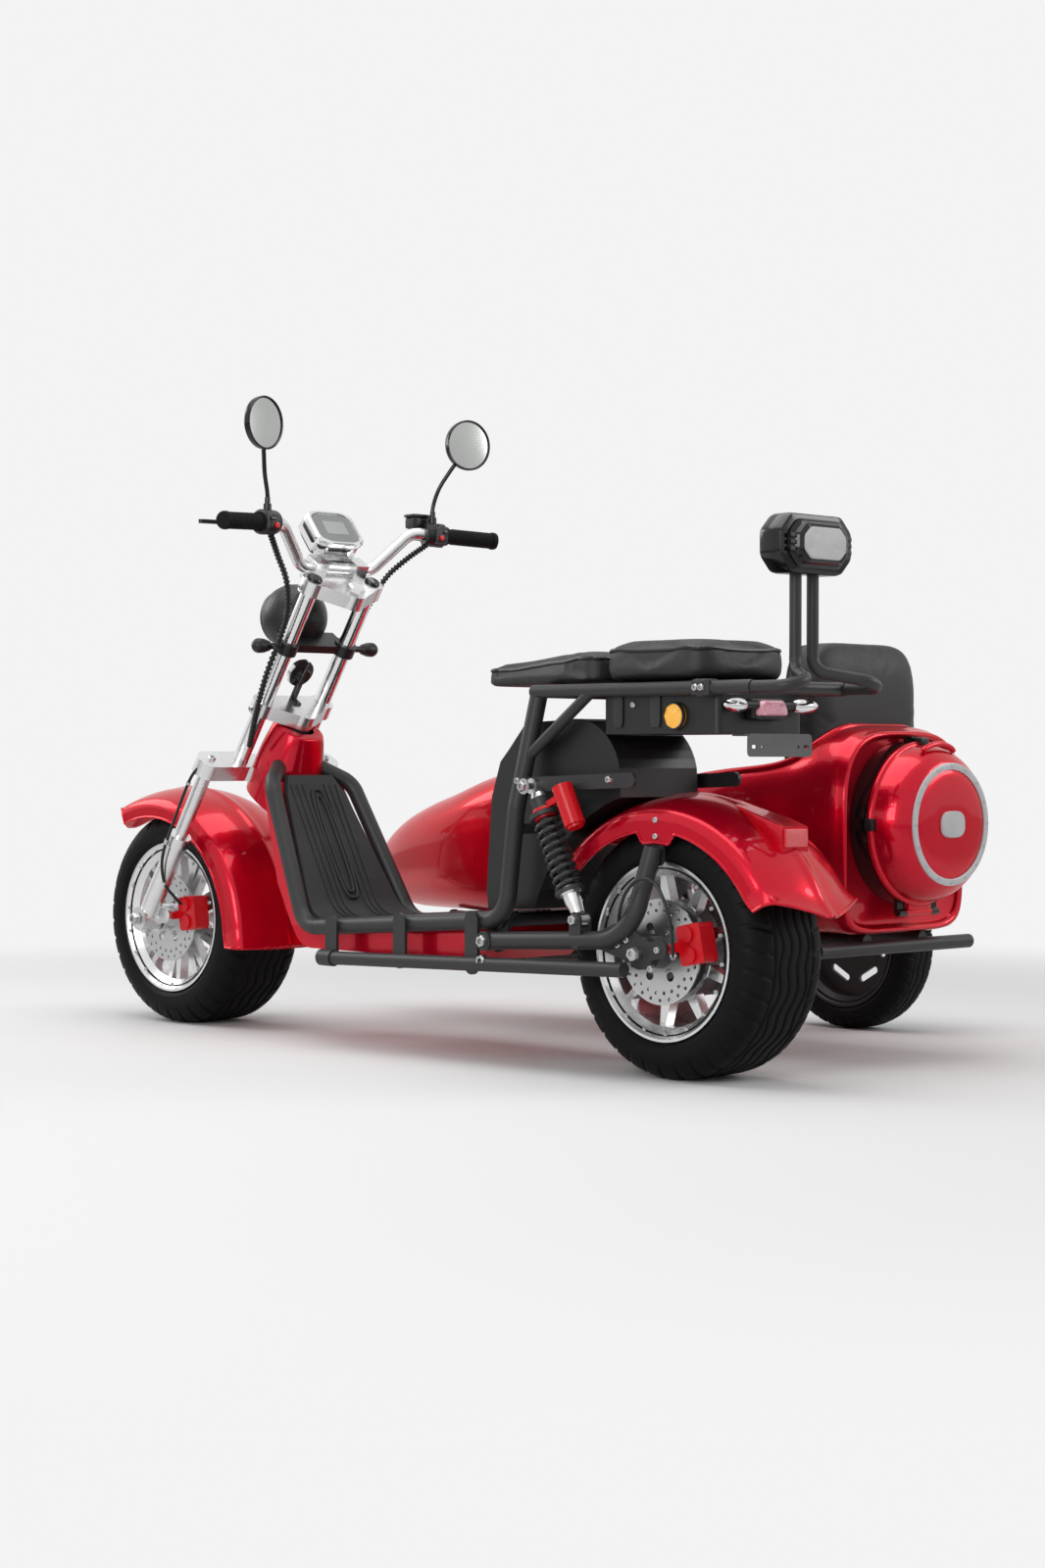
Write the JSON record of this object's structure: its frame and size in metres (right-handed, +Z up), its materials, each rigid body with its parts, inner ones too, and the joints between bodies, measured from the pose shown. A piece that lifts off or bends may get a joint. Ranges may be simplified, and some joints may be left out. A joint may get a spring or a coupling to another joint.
{
  "type": "electric scooter with passenger sidecar",
  "caption": "Two-seat electric scooter with fat tyres, raked fork and high bars, with a boat-shaped passenger sidecar and round trunk on its right side.",
  "frame": {"origin": "on the ground under the middle of the whole vehicle's box", "axes": "+X forward, +Y to the rider's left, +Z up"},
  "size_m": [2.124, 1.4094, 1.332],
  "materials": {
    "paint_red": "candy metallic gloss",
    "frame_black": "satin powder coat",
    "board_rubber": "ribbed matt rubber",
    "seat_leather": "grained artificial leather",
    "alloy": "polished cast alloy",
    "chrome": "bright plate",
    "tyre": "matt rubber",
    "plastic_black": "moulded matt",
    "gloss_black": "gloss",
    "steel": "ground steel",
    "caliper_red": "gloss enamel",
    "lamp_red": "clear moulded",
    "amber": "faceted clear moulded",
    "grip_rubber": "matt rubber",
    "motor_grey": "satin",
    "bracket_grey": "satin"
  },
  "bodies": {
    "chassis": {"main_frame": "frame_black", "neck_cover": "paint_red", "footboard": "board_rubber", "battery_case": "paint_red", "side_guard": "frame_black", "controller_box": "plastic_black", "swingarm": "frame_black", "rear_axle": "steel", "rear_shocks": "frame_black", "shock_reservoirs": "caliper_red", "rear_fender": "paint_red", "fender_lamp": "lamp_red", "rear_caliper": "caliper_red", "driver_seat": "seat_leather", "pillion_seat": "seat_leather", "seat_box": "plastic_black", "reflectors": "amber", "rear_lamps": "lamp_red", "plate_bracket": "bracket_grey", "backrest_bar": "frame_black", "backrest_pad": "gloss_black", "sidecar_frame": "frame_black", "sidecar_body": "paint_red", "sidecar_cushion": "seat_leather", "sidecar_backrest": "seat_leather", "sidecar_fender": "paint_red", "trunk_base": "gloss_black"},
    "steering": {"yokes": "alloy", "fork_arms": "alloy", "fork_tubes": "chrome", "fork_legs": "alloy", "front_axle": "steel", "front_fender": "paint_red", "front_caliper": "caliper_red", "handlebar": "alloy", "grips": "grip_rubber", "controls": "plastic_black", "mirrors": "plastic_black", "speedometer": "chrome", "headlamp": "plastic_black", "horn": "plastic_black", "front_signals": "plastic_black"},
    "front_wheel": {"front_tyre": "tyre", "front_rim": "alloy", "front_disc": "steel"},
    "rear_wheel": {"rear_tyre": "tyre", "rear_rim": "alloy", "hub_motor": "motor_grey", "rear_disc": "steel"},
    "sidecar_wheel": {"sidecar_tyre": "tyre", "sidecar_rim": "frame_black"},
    "trunk_lid": {"trunk_lid": "paint_red"}
  },
  "joints": [
    {"name": "steering", "type": "hinge", "parent": "chassis", "child": "steering", "pos_m": [0.51268, 0.3055, 0.56803], "axis": [-0.5519, 0, 0.8339], "range_deg": [-35, 35]},
    {"name": "front_wheel_spin", "type": "hinge", "parent": "steering", "child": "front_wheel", "pos_m": [0.78356, 0.3055, 0.2385], "axis": [0, 1, 0], "continuous": true},
    {"name": "rear_wheel_spin", "type": "hinge", "parent": "chassis", "child": "rear_wheel", "pos_m": [-0.71644, 0.3055, 0.2385], "axis": [0, 1, 0], "continuous": true},
    {"name": "sidecar_wheel_spin", "type": "hinge", "parent": "chassis", "child": "sidecar_wheel", "pos_m": [-0.33544, -0.6405, 0.188], "axis": [0, 1, 0], "continuous": true},
    {"name": "trunk_hinge", "type": "hinge", "parent": "chassis", "child": "trunk_lid", "pos_m": [-0.85004, -0.1895, 0.295], "axis": [0, -1, 0], "range_deg": [0, 80]}
  ]
}
